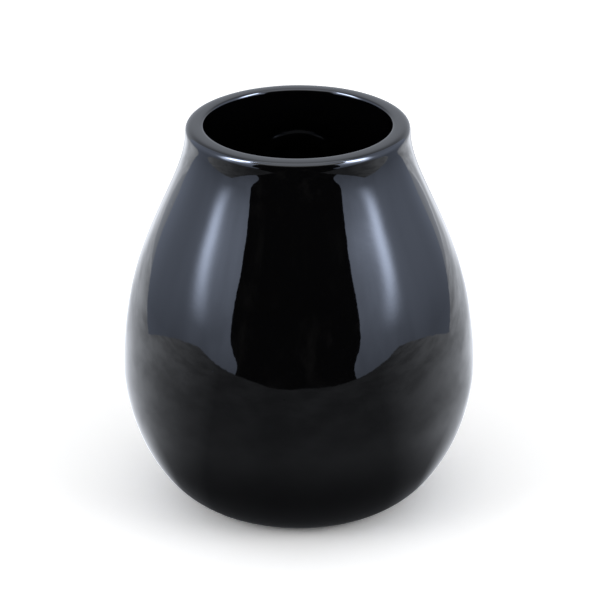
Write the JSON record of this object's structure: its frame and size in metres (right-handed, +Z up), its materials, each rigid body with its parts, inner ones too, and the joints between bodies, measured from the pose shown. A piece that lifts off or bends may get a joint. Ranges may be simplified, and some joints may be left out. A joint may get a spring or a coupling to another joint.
{
  "type": "ceramic mate gourd",
  "caption": "Empty round-bellied mate drinking gourd in black glazed ceramic, with a short collar, a thick rounded lip and a flat foot ring.",
  "frame": {"origin": "centre of the foot ring, on the surface the cup stands on", "axes": "+Z up along the cup's axis of revolution, -Y towards the front"},
  "size_m": [0.09, 0.09, 0.1015],
  "materials": {
    "glaze": "gloss"
  },
  "bodies": {
    "root": {"gourd": "glaze"}
  },
  "joints": []
}
